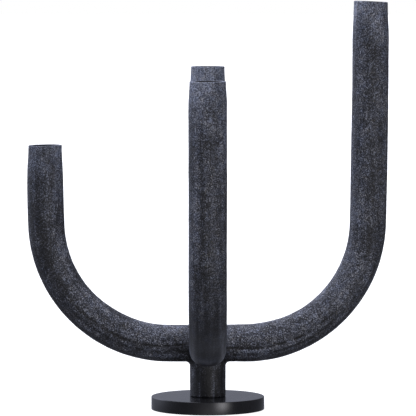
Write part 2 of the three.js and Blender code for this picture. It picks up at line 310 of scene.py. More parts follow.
TABLE_SIZE = 256
NOISE_GAIN = 1.6  # brings gradient noise to about -1 to 1
draw = np.random.default_rng(20)
ORDER = draw.permutation(TABLE_SIZE)
SLOPES = draw.normal(size=(TABLE_SIZE, 3))
SLOPES /= np.linalg.norm(SLOPES, axis=1)[:, None]
JITTER = draw.random((TABLE_SIZE, 3))
CHANCE = draw.random(TABLE_SIZE)


def lattice_index(cells, salt):
    """A repeatable table index for each whole-numbered cell."""
    index = np.full(len(cells), salt % TABLE_SIZE)
    for axis in range(3):
        index = ORDER[(index + cells[:, axis]) % TABLE_SIZE]
    return index


def noise(points, size, salt):
    """Gradient noise, about -1 to 1, at points, with features of a given size."""
    scaled = points / size
    cells = np.floor(scaled).astype(int)
    inside = scaled - cells
    ease = inside**3 * (inside * (inside * 6 - 15) + 10)
    total = np.zeros(len(points))
    for corner in itertools.product((0, 1), repeat=3):
        corner = np.array(corner)
        slope = SLOPES[lattice_index(cells + corner, salt)]
        share = np.where(corner, ease, 1 - ease).prod(axis=1)
        total += share * ((inside - corner) * slope).sum(axis=1)
    return total * NOISE_GAIN


def relief(points, pattern):
    """Height of a pattern at points."""
    size, height, salt = pattern
    return height * noise(points, size, salt)


def pits(points):
    """Depth share, 0 to 1, of small round pits scattered over space."""
    scaled = points / PIT_CELL
    cells = np.floor(scaled).astype(int)
    depth = np.zeros(len(points))
    for step in itertools.product((-1, 0, 1), repeat=3):
        near = cells + np.array(step)
        index = lattice_index(near, PIT_NOISE)
        distance = np.linalg.norm(near + JITTER[index] - scaled, axis=1) * PIT_CELL
        depth_here = np.clip(1 - distance / PIT_RADIUS, 0, 1) * (CHANCE[index] < PIT_SHARE)
        depth = np.maximum(depth, depth_here)
    return depth**PIT_CURVE


def patches(points, places):
    """Sum of soft round patches: places are (middle, reach, value)."""
    total = np.zeros(len(points))
    for middle, reach, value in places:
        away = np.linalg.norm(points - middle, axis=1) / reach
        total += value * np.exp(-(away**2))
    return total


def smooth_step(value, low, high):
    """0 up to low, 1 from high, and smooth between."""
    share = np.clip((value - low) / (high - low), 0, 1)
    return share * share * (3 - 2 * share)


def fade(value, stretch):
    """1 before a stretch and 0 after it."""
    return 1 - smooth_step(value, *stretch)


def ridge(value, width):
    """1 at 0, falling off to both sides over a width."""
    return np.exp(-((value / width) ** 2))


# ------------------------------------------------------------ the skin and its relief


class Skin:
    """Points of a casting, in millimetres, with what shapes its relief and its colour. Everything
    but the points and normals is one value per point, or one for all."""

    def __init__(self, points, normals, straight, roughness, level=-1.0, parting_level=None):
        self.points = points
        self.normals = normals
        self.straight = straight  # place on the tube as if it were straight
        self.roughness = roughness  # share of the full relief
        self.level = level  # height round the tube: -1 underneath or outside, 1 on top or inside
        self.parting_level = parting_level  # height of the parting line, if there is one
        # lighter where rubbed, and on the heels also painted highlight and light
        self.wear_and_highlight = 0.0  # how far it is rubbed lighter
        self.grain = 1.0  # share of the full grain in the colour
        self.streaks = 1.0  # share of the streaks along the tube
        # shade is mostly painted shade, below 0 painted light, and on the arms' outer sides partly
        # darker metal
        self.shade = 0.0  # how far it is darkened

    def parting(self):
        """Depth share of the broken parting line, and share of the rubbed band under it."""
        if self.parting_level is None:
            return np.zeros((2, len(self.points)))
        wander = relief(self.points, PARTING_WANDER)
        above = (self.level - self.parting_level - wander) * BRANCH_RADIUS
        line = ridge(above, PARTING_WIDTH)
        line += SECOND_LINE * ridge(above + 2 * FLASH_BELOW, PARTING_WIDTH)
        broken = smooth_step(relief(self.points, PARTING_BREAKS), *PARTING_GAPS)
        broken *= PARTING_EVENNESS + relief(self.points, PARTING_NIBBLES)
        fading = 1 - PARTING_FADING * smooth_step(self.straight[:, 2], *PARTING_ENDS)
        band = ridge(-above - FLASH_BELOW, BAND_WIDTH)
        return line * broken * fading, band * fading

    def finished(self):
        """The points with their relief, and the attributes for the material."""
        points = self.points
        parting, band = self.parting()
        pit = pits(points)
        rough = relief(points, DENT)
        rough += relief(points, GRAIN)
        rough += relief(points, FINE_GRAIN)
        rough -= PIT_DEPTH * pit
        rough *= self.roughness * (1 - BAND_SMOOTHING * band)
        rough -= PARTING_DEPTH * parting
        smooth = relief(points, SWELL) - SKIN_SETBACK + patches(points, THICKENINGS)
        moved = points + self.normals * (rough + smooth)[:, None]
        moved = np.where((self.roughness > 0)[:, None], moved, points)
        crease = np.clip(parting + PIT_CREASE * pit, 0, 1) * (self.roughness > 0)
        wear_and_highlight = self.wear_and_highlight + BAND_WEAR * band
        shade = self.shade + patches(points, BLOTCHES_OF_PAINTED_LIGHT_AND_SHADE)
        attributes = {
            "straight": self.straight * MM,
            "patina_and_painted_light": columns(crease, wear_and_highlight, shade),
            "texture": columns(self.grain, self.streaks, parting),
        }
        return moved, attributes


def columns(x, y, z):
    """Rows of three values, from arrays or single values of any shapes that fit together."""
    return np.stack(np.broadcast_arrays(x, y, z), axis=-1).reshape(-1, 3)


def mesh_piece(name, points, faces, node, attributes=None, sharp_angle=60):
    """A piece of the object from points in millimetres: rides on the root and replaces a CAD node."""
    low, high = (np.array(corner) / MM for corner in cad_box)
    points = np.clip(points, low, high)
    mesh = bpy.data.meshes.new(name)
    mesh.from_pydata((points * MM).tolist(), [], faces)
    mesh.update()
    mesh.set_sharp_from_angle(angle=math.radians(sharp_angle))
    for label, values in (attributes or {}).items():
        attribute = mesh.attributes.new(label, "FLOAT_VECTOR", "POINT")
        attribute.data.foreach_set("vector", values.astype(np.float32).ravel())
    piece = bpy.data.objects.new(name, mesh)
    bpy.context.collection.objects.link(piece)
    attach(piece, "root")
    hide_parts(node)
    return piece


def strips(rings, closed):
    """Quads between neighbouring rings of point numbers, facing outward."""
    pairs = list(zip(rings[:-1], rings[1:]))
    if closed:
        pairs.append((rings[-1], rings[0]))
    faces = []
    for ring, following in pairs:
        corners = (ring, np.roll(ring, -1), np.roll(following, -1), following)
        faces.extend(np.stack(corners, axis=1).tolist())
    return faces


def steps(start, end, spacing):
    """Even stops after start, up to end."""
    count = max(1, round(abs(end - start) / spacing))
    return np.linspace(start, end, count + 1)[1:]


def turns(count):
    """Even angles of a full turn."""
    return 2 * math.pi * np.arange(count) / count


def turned_about_z(points, degrees):
    angle = math.radians(degrees)
    spin = np.array(
        [
            [math.cos(angle), -math.sin(angle), 0],
            [math.sin(angle), math.cos(angle), 0],
            [0, 0, 1],
        ]
    )
    return points @ spin.T


# ------------------------------------------------------------ arms


def forward(place, length, turn):
    """Moves places (x, z, angle) along arcs of given lengths that turn by given angles."""
    x, z, angle = place
    chord = length * np.sinc(turn / (2 * math.pi))
    middle = angle + turn / 2
    return x + chord * np.cos(middle), z + chord * np.sin(middle), angle + turn


class Centreline:
    """An arm's centreline in its own plane: x outward and z up from the hub's centre."""

    def __init__(self, arm):
        self.elbow_turn = math.radians(90 - arm["lean_at_elbow"])
        self.elbow_length = arm["elbow_radius"] * self.elbow_turn
        self.elbow_from = arm["run"]
        self.riser_from = arm["run"] + self.elbow_length
        self.riser_turn = math.radians(arm["lean_at_elbow"] - arm["lean_at_tip"])
        self.riser_length = 1.0  # so that one millimetre of riser tells how much a whole one rises
        rise = self.at(self.riser_from + 1.0)[1] - self.at(self.riser_from)[1]
        height = arm["tip_height"] - AXIS_HEIGHT - self.at(self.riser_from)[1]
        self.riser_length = float(height / rise)
        self.length = self.riser_from + self.riser_length

    def at(self, distance):
        distance = np.asarray(distance, float)
        in_run = np.minimum(distance, self.elbow_from)
        in_elbow = np.clip(distance - self.elbow_from, 0, self.elbow_length)
        in_riser = np.maximum(distance - self.riser_from, 0)
        elbow_share = in_elbow / self.elbow_length
        riser_share = in_riser / self.riser_length
        place = forward((0, 0, 0), in_run, 0 * in_run)
        place = forward(place, in_elbow, elbow_share * self.elbow_turn)
        return forward(place, in_riser, riser_share * self.riser_turn)


def heel_bulge(level, across):
    """Share of the bulge round a heel that was flattened in bending: fullest halfway down each side.
    Takes the two parts of the direction round the tube."""
    return np.where(level < 0, (2 * level * across) ** 2, 0)


def heel_wear_and_highlight(arm, level, along):
    """Lightening of a polished heel: bright lines along both sides, where the cast fin was filed down,
    that are also painted highlights, and painted light on a rubbed patch underneath."""
    flash_highlight = FLASH_WEAR_AND_HIGHLIGHT * ridge(level - FLASH_LEVEL, FLASH_SPREAD) * fade(along, FLASH_ENDS)
    under = UNDER_RUB_AND_PAINTED_LIGHT * ridge(level - UNDER_LEVEL, UNDER_SPREAD) * fade(along, UNDER_RUB_AND_LIGHT_ENDS)
    return arm["heel_polish"] * smooth_step(along, *HEEL_STARTS) * (flash_highlight + under)


def skin_radius(arm, line, distance):
    in_elbow = smooth_step(distance, line.elbow_from, line.riser_from)
    in_taper = smooth_step(distance, line.length - arm["taper_length"], line.length)
    riser = BRANCH_RADIUS + (arm["riser_radius"] - BRANCH_RADIUS) * in_elbow
    return riser + (arm["tip_radius"] - riser) * in_taper


def arm_rings(arm, line):
    """Rows of (distance, radius, outward share of the normal, roughness) from joint to rim to bore."""
    rows = []
    edge_from = line.length - RIM_EDGE
    for distance in [JOINT_DISTANCE, *steps(JOINT_DISTANCE, edge_from, SPACING)]:
        rows.append((distance, float(skin_radius(arm, line, distance)), 1.0, 1.0))
    rim = rows[-1][1] - RIM_EDGE
    for angle in np.radians([45, 90]):
        drop = RIM_EDGE * (1 - math.sin(angle))
        radius = rim + RIM_EDGE * math.cos(angle)
        rows.append((line.length - drop, radius, math.cos(angle), EDGE_ROUGHNESS))
    inner = BORE_RADIUS + RIM_INNER_EDGE
    for radius in steps(rim, inner, SPACING):
        rows.append((line.length, radius, 0.0, RIM_ROUGHNESS))
    rows.append((line.length - RIM_INNER_EDGE, BORE_RADIUS, 0.0, 0.0))
    for distance in steps(line.length - RIM_INNER_EDGE, JOINT_DISTANCE, BORE_SPACING):
        rows.append((distance, BORE_RADIUS, 0.0, 0.0))
    return np.array(rows)


def arm_skin(arm, line, rows):
    """The skin of an arm in place, with its tip cut at a slant, before its colouring and painted light.
    """
    distance, radius, outward, roughness = (column[:, None] for column in rows.T)
    turn = turns(AROUND)[None, :]
    inward_side, sideways = np.cos(turn), np.sin(turn)
    fullness = arm["heel_bulge"] * fade(distance, BULGE_ENDS) * (outward > 0)
    radius = radius + fullness * heel_bulge(inward_side, sideways)
    x, z, angle = line.at(distance)
    cut = math.tan(math.radians(arm["tip_cut"]))
    tilt = cut * smooth_step(distance, line.length - arm["taper_length"], line.length)
    tilt = np.where(outward + roughness > 0, tilt, cut * (distance > line.length - CUP_DEPTH))
    slide = radius * inward_side * tilt
    points = columns(
        x - np.sin(angle) * radius * inward_side + np.cos(angle) * slide,
        -radius * sideways,
        z + np.cos(angle) * radius * inward_side + np.sin(angle) * slide,
    )
    upward = np.sqrt(1 - outward**2)
    normals = columns(
        -np.sin(angle) * inward_side * outward + np.cos(angle) * upward,
        -sideways * outward,
        np.cos(angle) * inward_side * outward + np.sin(angle) * upward,
    )
    return Skin(
        turned_about_z(points + [0, 0, AXIS_HEIGHT], arm["heading"]),
        turned_about_z(normals, arm["heading"]),
        columns(radius * inward_side, radius * sideways, distance),
        np.broadcast_to(roughness, radius.shape).ravel(),
        np.broadcast_to(inward_side, radius.shape).ravel(),
        arm["parting_level"],
    )


def add_wear_and_painted_light(skin, arm, line):
    """Grain, rubbing, and painted light and shade of an arm: rubbed at the tip, polished at the heel
    with painted highlights along it, and painted shade and light in and round the bore, under the run,
    and on its outer side, run and riser.
    """
    along = skin.straight[:, 2]
    radius = np.hypot(skin.straight[:, 0], skin.straight[:, 1])
    inside = radius < BORE_RADIUS + SHADED_RIM_WIDTH
    in_bore = radius < BORE_RADIUS + ON_SURFACE
    from_tip = (line.length - along) / TIP_WEAR_REACH
    skin.wear_and_highlight = arm["tip_wear"] * np.exp(-(from_tip**TIP_WEAR_CURVE))
    polish = arm["heel_polish"] * fade(along, POLISH_ENDS)
    polish = polish * smooth_step(-skin.level, *POLISH_DEPTHS)
    skin.grain = RUN_GRAIN - RISER_GRAIN_LOSS * smooth_step(along, *RUN_GRAIN_ENDS)
    skin.grain = (skin.grain - WORN_GRAIN_LOSS * skin.wear_and_highlight) * (1 - polish)
    skin.grain = np.where(inside, RIM_GRAIN, skin.grain)
    skin.grain = np.where(in_bore, BORE_GRAIN, skin.grain)
    skin.roughness = skin.roughness * (1 - POLISH_SMOOTHING * polish)
    # painted highlights and light along the heel, partly filed and rubbed
    skin.wear_and_highlight += heel_wear_and_highlight(arm, skin.level, along)
    # painted shade and light on the outer side, the run and the riser, partly darker metal on the outer
    # side, and painted shade under the run
    skin.shade = arm["outer_shade"] * smooth_step(-skin.level, *OUTER_SHADE_DEPTHS)
    underside = smooth_step(-skin.level, *UNDERSIDE_DEPTHS) * fade(along, UNDERSIDE_ENDS)
    skin.shade += UNDERSIDE_SHADE * underside * (1 - arm["heel_polish"])
    up_riser = smooth_step(along, *RISER_SHADE_STARTS)
    skin.shade += arm["run_shade"] + (arm["riser_shade"] - arm["run_shade"]) * up_riser
    # painted shade round the bore's mouth and in the bore
    skin.shade = np.where(inside, RIM_SHADE, skin.shade)
    skin.shade = np.where(in_bore, BORE_SHADE, skin.shade)


def cast_arm(side, arm):
    line = Centreline(arm)
    rows = arm_rings(arm, line)
    skin = arm_skin(arm, line, rows)
    add_wear_and_painted_light(skin, arm, line)
    points, attributes = skin.finished()
    rings = np.arange(len(points)).reshape(len(rows), AROUND)
    faces = strips(rings, closed=True)
    return mesh_piece(f"{side}_arm_cast", points, faces, f"{side}_arm", attributes)


# ------------------------------------------------------------ hub and stem


def filleted(a, b, fillet):
    """Signed distance to two surfaces joined by a round fillet."""
    round_part = np.hypot(np.maximum(fillet - a, 0), np.maximum(fillet - b, 0))
    return np.maximum(fillet, np.minimum(a, b)) - round_part


def hub_distance(points):
    """Signed distance to the hub's outside, from its centre. The fillet between the level tubes
    fades out on top of the crossing, where their surfaces run into each other."""
    x, y, z = points.T
    across_radius = np.hypot(y, z)
    along_radius = np.hypot(x, z)
    same_facing = z * z / np.maximum(across_radius * along_radius, 1e-6)
    fillet = np.maximum(FILLET * (1 - same_facing), 1e-3)
    level = filleted(across_radius - BRANCH_RADIUS, along_radius - BRANCH_RADIUS, fillet)
    upright = np.maximum(np.hypot(x, y) - STEM_RADIUS, z)
    return filleted(level, upright, FILLET)


def hub_slope(points):
    step = 1e-3
    slope = np.empty_like(points)
    for axis in range(3):
        shift = np.zeros(3)
        shift[axis] = step
        slope[:, axis] = hub_distance(points + shift) - hub_distance(points - shift)
    return slope / (2 * step)


def onto_hub(points):
    """Moves points onto the hub's surface, by Newton's method."""
    for _ in range(12):
        slope = hub_slope(points)
        square = (slope**2).sum(axis=1)
        points = points - slope * (hub_distance(points) / square)[:, None]
    return points


UNIT = np.eye(3)
BRANCHES = (  # axis, and the two directions across it
    (UNIT[0], UNIT[1], UNIT[2]),
    (-UNIT[0], UNIT[2], UNIT[1]),
    (UNIT[1], UNIT[2], UNIT[0]),
    (-UNIT[1], UNIT[0], UNIT[2]),
    (-UNIT[2], UNIT[1], UNIT[0]),
)


def branch_rings(axis, u, v):
    """Rings of one branch of the hub, from its mitre with its neighbours to its joint face."""
    turn = turns(AROUND)
    spokes = np.cos(turn)[:, None] * u + np.sin(turn)[:, None] * v
    neighbours = [other[0] for other in BRANCHES if abs(other[0] @ axis) < 0.5]
    mitre = BRANCH_RADIUS * np.max([spokes @ other for other in neighbours], axis=0)
    shares = np.linspace(0, 1, 1 + round(JOINT_DISTANCE / SPACING))
    reach = mitre[None, :] + shares[:, None] * (JOINT_DISTANCE - mitre[None, :])
    return spokes * BRANCH_RADIUS + reach[:, :, None] * axis


def blended(points):
    """0 on plain tube, 1 in the middle of a weld fillet of the hub."""
    x, y, z = points.T
    surfaces = np.sort(
        [
            np.abs(np.hypot(y, z) - BRANCH_RADIUS),
            np.abs(np.hypot(x, z) - BRANCH_RADIUS),
            np.abs(np.hypot(x, y) - STEM_RADIUS) + np.maximum(z, 0),
        ],
        axis=0,
    )
    return fade(surfaces[1], BLEND_ENDS)


def weld(points, faces):
    """Joins points that coincide, and renumbers the faces."""
    keys = np.round(points, 4) + 0.0
    _, first, number = np.unique(keys, axis=0, return_index=True, return_inverse=True)
    number = number.ravel()
    joined = []
    for face in faces:
        corners = list(dict.fromkeys(int(number[corner]) for corner in face))
        if len(corners) > 2:
            joined.append(corners)
    return points[first], joined


def hub_shape():
    """Points from the hub's centre and faces of its five branches, each closed by a blind socket."""
    points, faces = [], []
    used = 0
    for axis, u, v in BRANCHES:
        rings = branch_rings(axis, u, v)
        skin = onto_hub(rings.reshape(-1, 3))
        end = skin[-AROUND:]
        radial = end - (end @ axis)[:, None] * axis
        radial /= np.linalg.norm(radial, axis=1)[:, None]
        socket = [
            radial * BORE_RADIUS + axis * JOINT_DISTANCE,
            radial * BORE_RADIUS + axis * HUB_SOCKET_FLOOR,
            radial * BORE_RADIUS / 2 + axis * HUB_SOCKET_FLOOR,
        ]
        count = len(rings) + len(socket)
        numbers = used + np.arange(count * AROUND).reshape(count, AROUND)
        faces.extend(strips(numbers, closed=False))
        middle = used + count * AROUND
        last = numbers[-1].tolist()
        faces.extend([a, b, middle] for a, b in zip(last, last[1:] + last[:1]))
        points.extend([skin, *socket, (axis * HUB_SOCKET_FLOOR)[None, :]])
        used = middle + 1
    return weld(np.concatenate(points), faces)


def cast_hub():
    points, faces = hub_shape()
    x, y, z = points.T
    on_skin = np.abs(hub_distance(points)) < ON_SURFACE
    slope = hub_slope(points)
    normals = slope / np.linalg.norm(slope, axis=1)[:, None]
    fillet = blended(points)
    reach = np.abs(points).max(axis=1)
    sideways = np.abs(x) > np.abs(y)
    on_tube = columns(z, np.where(sideways, y, x), reach)
    on_stem = turned_about_z(columns(x, y, reach), STEM_HIGHLIGHT_TURN)
    heels = ARMS["front"]["heel_bulge"] * smooth_step(np.abs(y), *BULGE_STARTS)
    heels *= heel_bulge(z / BRANCH_RADIUS, x / BRANCH_RADIUS) * on_skin
    skin = Skin(
        points + normals * heels[:, None] + [0, 0, AXIS_HEIGHT],
        normals,
        np.where((-z == reach)[:, None], on_stem, on_tube),
        np.where(on_skin, 1 - FILLET_SMOOTHING * fillet, 0),
        np.clip(z / BRANCH_RADIUS, -1, 1),
        np.where(x > 0, ARMS["right"]["parting_level"], ARMS["left"]["parting_level"]),
    )
    below = smooth_step(-z, *STEM_DEPTHS)
    # painted highlights and light along the front heel, partly filed and rubbed
    heel_wear_and_light = heel_wear_and_highlight(ARMS["front"], skin.level, np.abs(y))
    skin.wear_and_highlight = FILLET_WEAR * fillet * (1 - below) + heel_wear_and_light
    skin.grain = (HUB_GRAIN - FILLET_GRAIN_LOSS * fillet) * (1 - below) + STEM_GRAIN * below
    skin.streaks = smooth_step(reach, *STREAKS_START) * (1 - below) + STEM_STREAKS * below
    # painted shade: the hub's fillets are darker low down and on the left side, its side tubes
    # underneath, and its lower branch, where the stem starts
    shaded_creases = smooth_step(-z, *LOWER_CREASE_DEPTHS)
    shaded_creases = shaded_creases + LEFT_CREASE_SHADE * smooth_step(-x, *LEFT_CREASE_ACROSS)
    underside = UNDERSIDE_SHADE * smooth_step(-skin.level, *UNDERSIDE_DEPTHS) * sideways
    skin.shade = STEM_SHADE * below + (shaded_creases * fillet + underside) * (1 - below)
    moved, attributes = skin.finished()
    return mesh_piece("hub_cast", moved, faces, "hub", attributes)


def cast_stem():
    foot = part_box("base_plate")[1].z / MM + CONTACT_GAP
    top = AXIS_HEIGHT - JOINT_DISTANCE
    rows = [(BORE_RADIUS, foot, 0), (STEM_RADIUS - STEM_FOOT_EDGE, foot, 0)]
    for angle in np.radians([30, 60, 90]):
        radius = STEM_RADIUS - STEM_FOOT_EDGE * (1 - math.sin(angle))
        rows.append((radius, foot + STEM_FOOT_EDGE * (1 - math.cos(angle)), 1))
    rows.extend((STEM_RADIUS, height, 1) for height in steps(rows[-1][1], top, SPACING))
    rows.append((BORE_RADIUS, top, 0))
    radius, height, roughness = (np.array(column)[:, None] for column in zip(*rows))
    turn = turns(AROUND)[None, :]
    points = columns(np.cos(turn) * radius, np.sin(turn) * radius, height)
    normals = columns(np.cos(turn), np.sin(turn), 0 * radius)
    straight = turned_about_z(points * [1, 1, -1] + [0, 0, AXIS_HEIGHT], STEM_HIGHLIGHT_TURN)
    roughness = np.repeat(roughness, AROUND)
    skin = Skin(points, normals, straight, roughness)
    skin.grain = STEM_GRAIN
    skin.streaks = STEM_STREAKS
    # painted shade: the stem stands under the hub and the arms
    skin.shade = STEM_SHADE
    moved, attributes = skin.finished()
    faces = strips(np.arange(len(points)).reshape(len(rows), AROUND), closed=True)
    return mesh_piece("stem_cast", moved, faces, "stem", attributes)


# ------------------------------------------------------------ turned pieces


def turned_piece(name, outline, sides, node, shape=None, closed=False):
    """A turned piece from an outline of (radius, height), anticlockwise in that plane.
    shape may move its points."""
    turn = turns(sides)
    points, rings = [], []
    used = 0
    for radius, height in outline:
        if radius == 0:
            points.append([[0, 0, height]])
            rings.append(np.full(sides, used))
            used += 1
        else:
            points.append(columns(np.cos(turn) * radius, np.sin(turn) * radius, height))
            rings.append(used + np.arange(sides))
            used += sides
    points = np.concatenate(points)
    faces = [list(dict.fromkeys(face)) for face in strips(rings, closed)]
    faces = [face for face in faces if len(face) > 2]
    if shape is not None:
        points = shape(points)
    return mesh_piece(name, points, faces, node, sharp_angle=40)


def arc(centre, radius, start, end, count):
    """Points of an outline along an arc, angles in degrees from the +radius direction."""
    return [
        (centre[0] + radius * math.cos(angle), centre[1] + radius * math.sin(angle))
        for angle in np.radians(np.linspace(start, end, count))
    ]


def base_plate():
    low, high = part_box("base_plate")
    radius, bottom, top = high.x / MM, low.z / MM, high.z / MM
    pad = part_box("felt_pad")[1]
    recess_radius, recess_top = pad.x / MM + PLAY, pad.z / MM + PLAY
    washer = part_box("flat_washer")[1]
    counterbore, seat = washer.x / MM + COUNTERBORE_PLAY, washer.z / MM + PLAY
    upper, lower = BASE_UPPER_EDGE, BASE_LOWER_EDGE
    outline = [(SCREW_HOLE_RADIUS, seat), (counterbore, seat), (counterbore, recess_top)]
    outline += [(recess_radius, recess_top), (recess_radius, bottom)]
    outline += arc((radius - lower, bottom + lower), lower, -90, 0, 4)
    outline += arc((radius - upper, top - upper), upper, 0, 90, 6)
    outline += [(r, top) for r in np.linspace(radius - upper, SCREW_HOLE_RADIUS, 12)[1:]]
    return turned_piece("base_plate_turned", outline, 256, "base_plate", closed=True)


def felt_pad():
    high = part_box("felt_pad")[1]
    radius, top = high.x / MM, high.z / MM
    flat_radius = radius - PAD_EDGE
    outline = [(0, 0)] + [(r, 0) for r in np.linspace(radius / 12, flat_radius, 24)]
    outline += arc((flat_radius, PAD_EDGE), PAD_EDGE, -60, 0, 3)
    outline += [(radius, top), (0, top)]

    def fuzz(points):
        lift = np.abs(relief(points, PAD_FUZZ)) + np.abs(relief(points, PAD_FINE_FUZZ))
        under = points[:, 2] < PAD_FUZZ_TOP
        points[:, 2] += np.where(under, lift, 0)
        return points

    return turned_piece("felt_pad_cut", outline, 160, "felt_pad", shape=fuzz)


def candle_cup(side, arm):
    line = Centreline(arm)
    x, z, angle = (float(value) for value in line.at(line.length))
    slope = math.tan(math.radians(arm["tip_cut"]))
    lean = math.pi / 2 - angle
    rim = -CUP_RECESS - CUP_EDGE
    below_rim = rim - CUP_FACING
    inner_floor = CUP_CORNER - CUP_DEPTH
    outline = [(0, -CUP_DEPTH - CUP_FLOOR), (CUP_RADIUS, -CUP_DEPTH - CUP_FLOOR)]
    outline += [(CUP_RADIUS, height) for height in (*CUP_WALL_STOPS, below_rim)]
    outline += arc((CUP_RADIUS - CUP_EDGE, rim), CUP_EDGE, 0, 90, 4)
    outline += arc((CUP_BORE_RADIUS + CUP_EDGE, rim), CUP_EDGE, 90, 180, 4)
    outline += [(CUP_BORE_RADIUS, height) for height in np.linspace(below_rim, inner_floor, 14)]
    outline += arc((CUP_BORE_RADIUS - CUP_CORNER, inner_floor), CUP_CORNER, 0, -90, 5)
    outline += [(radius, -CUP_DEPTH) for radius in CUP_FLOOR_STOPS]

    def place(points):
        near_rim = smooth_step(points[:, 2], below_rim, rim)
        points[:, 2] -= points[:, 0] * slope * near_rim
        tilted = columns(
            points[:, 0] * math.cos(lean) + points[:, 2] * math.sin(lean),
            points[:, 1],
            -points[:, 0] * math.sin(lean) + points[:, 2] * math.cos(lean),
        )
        return turned_about_z(tilted + [x, 0, z + AXIS_HEIGHT], arm["heading"])

    return turned_piece(f"{side}_cup_liner", outline, 96, f"{side}_candle_cup", shape=place)


# ------------------------------------------------------------ materials

# patterns of the cast metal: features per metre, detail and roughness of the noise
GRAIN_NOISE = (900, 1.0, 0.6)
MOTTLE_NOISE = (100, 3.0, 0.6)
STREAK_NOISE = (130, 3.0, 0.7)
CLOUD_NOISE = (40, 2.0, 0.5)
TINT_NOISE = (170, 1.0, 0.5)
STREAK_STRETCH = (1, 1, 0.09)

# the cast metal's tone, 0 darkest to 1 lightest: a middle, and the weight of each pattern; the shade
# and rubbing weights also carry painted shade and highlight
MIDDLE_TONE = 0.403
GRAIN_TONE = 2.0
MOTTLE_TONE = 0.46
CLOUD_TONE = 0.3
STREAK_TONE = 0.8
WEAR_AND_HIGHLIGHT_TONE = 0.144
SHADE_TONE = -0.144
CREASE_TONE = -0.11
GROOVE_TONE = -0.6
TONES = (
    (0.0, (0.0045, 0.0045, 0.005)),
    (0.2, (0.0142, 0.0144, 0.016)),
    (0.4, (0.0405, 0.042, 0.0495)),
    (0.6, (0.108, 0.116, 0.14)),
    (0.8, (0.235, 0.246, 0.28)),
    (1.0, (0.44, 0.455, 0.5)),
)
TINTS = ((0.2, (0.91, 0.97, 1.1)), (0.7, (1.05, 1.01, 0.95)))  # colder and warmer metal
# rubbed metal, and the painted highlights on the heels, are a little colder
WORN_AND_HIGHLIGHT_TINT = -0.08  # rubbed metal is a little colder

# light specks in the colour: painted glints on the grain, partly also light mineral grains
SPECKS_PER_METRE = 480.0
SPECK_RADIUS = 0.32
SPECK_RARITY = 0.9
SPECK_STRENGTH = 0.25
SPECK_COLOUR = (0.3, 0.27, 0.2, 1)


def add(tree, kind, inputs=None, **settings):
    """A shader node with its settings, and its inputs given as values or as other nodes' outputs."""
    node = tree.nodes.new(kind)
    for setting, value in settings.items():
        setattr(node, setting, value)
    for socket, value in (inputs or {}).items():
        if isinstance(value, bpy.types.NodeSocket):
            tree.links.new(value, node.inputs[socket])
        else:
            node.inputs[socket].default_value = value
    return node


def new_material(name):
    material = bpy.data.materials.new(name)
    material.use_nodes = True
    material.node_tree.nodes.clear()
    return material, material.node_tree


def ramp(tree, value, stops):
    """Colours along a value: stops are (place, colour)."""
    node = add(tree, "ShaderNodeValToRGB", {"Fac": value})
    elements = node.color_ramp.elements
    while len(elements) < len(stops):
        elements.new(0.5)
    for element, (place, colour) in zip(elements, stops):
        element.position = place
        element.color = (*colour, 1)
    return node.outputs["Color"]


def maths(tree, operation, a, b, clamp=False):
    node = add(tree, "ShaderNodeMath", {0: a, 1: b}, operation=operation, use_clamp=clamp)
    return node.outputs["Value"]


def vector_maths(tree, operation, a, b, output):
    return add(tree, "ShaderNodeVectorMath", {0: a, 1: b}, operation=operation).outputs[output]


def mixed(tree, factor, a, b, **settings):
    inputs = {"Factor": factor, "A": a, "B": b}
    return add(tree, "ShaderNodeMix", inputs, data_type="RGBA", **settings).outputs["Result"]


def noise_at(tree, coordinates, scale, detail, roughness):
    inputs = {"Vector": coordinates, "Scale": scale, "Detail": detail, "Roughness": roughness}
    return add(tree, "ShaderNodeTexNoise", inputs).outputs["Fac"]


def centred_noise(tree, coordinates, pattern, share=None):
    """Noise about 0, or a varying share of it."""
    value = maths(tree, "SUBTRACT", noise_at(tree, coordinates, *pattern), 0.5)
    return value if share is None else maths(tree, "MULTIPLY", value, share)


def weighted(tree, terms):
    """Sum of (value, weight) terms."""
    total = None
    for value, weight in terms:
        part = maths(tree, "MULTIPLY", value, weight)
        total = part if total is None else maths(tree, "ADD", total, part)
    return total


def between(tree, value, low, high):
    """Value mapped from 0..1 to low..high."""
    inputs = {"Value": value, "To Min": low, "To Max": high}
    return add(tree, "ShaderNodeMapRange", inputs).outputs["Result"]


def object_place(tree):
    return add(tree, "ShaderNodeTexCoord").outputs["Object"]


def stored_vector(tree, name):
    return add(tree, "ShaderNodeAttribute", attribute_name=name).outputs["Vector"]


def parts(tree, vector):
    return add(tree, "ShaderNodeSeparateXYZ", {0: vector}).outputs[:3]


def finish_surface(tree, colour, roughness, height, strength, distance, **constants):
    """A principled shader with a bump, wired to the output. strength and distance are the bump's."""
    bump = add(
        tree, "ShaderNodeBump", {"Height": height, "Strength": strength, "Distance": distance}
    )
    inputs = {"Base Color": colour, "Roughness": roughness, "Normal": bump.outputs["Normal"]}
    inputs.update({name.replace("_", " "): value for name, value in constants.items()})
    finish_material(tree, add(tree, "ShaderNodeBsdfPrincipled", inputs))


def finish_material(tree, shader):
    add(tree, "ShaderNodeOutputMaterial", {"Surface": shader.outputs[0]})


def specks(tree, place, share):
    """Factor of small, scattered light specks: painted glints, partly also light mineral grains."""
    cells = add(tree, "ShaderNodeTexVoronoi", {"Vector": place, "Scale": SPECKS_PER_METRE})
    spot = maths(tree, "LESS_THAN", cells.outputs["Distance"], SPECK_RADIUS)
    chosen = maths(tree, "GREATER_THAN", parts(tree, cells.outputs["Color"])[0], SPECK_RARITY)
    speck = maths(tree, "MULTIPLY", maths(tree, "MULTIPLY", spot, chosen), share)
    return maths(tree, "MULTIPLY", speck, SPECK_STRENGTH)


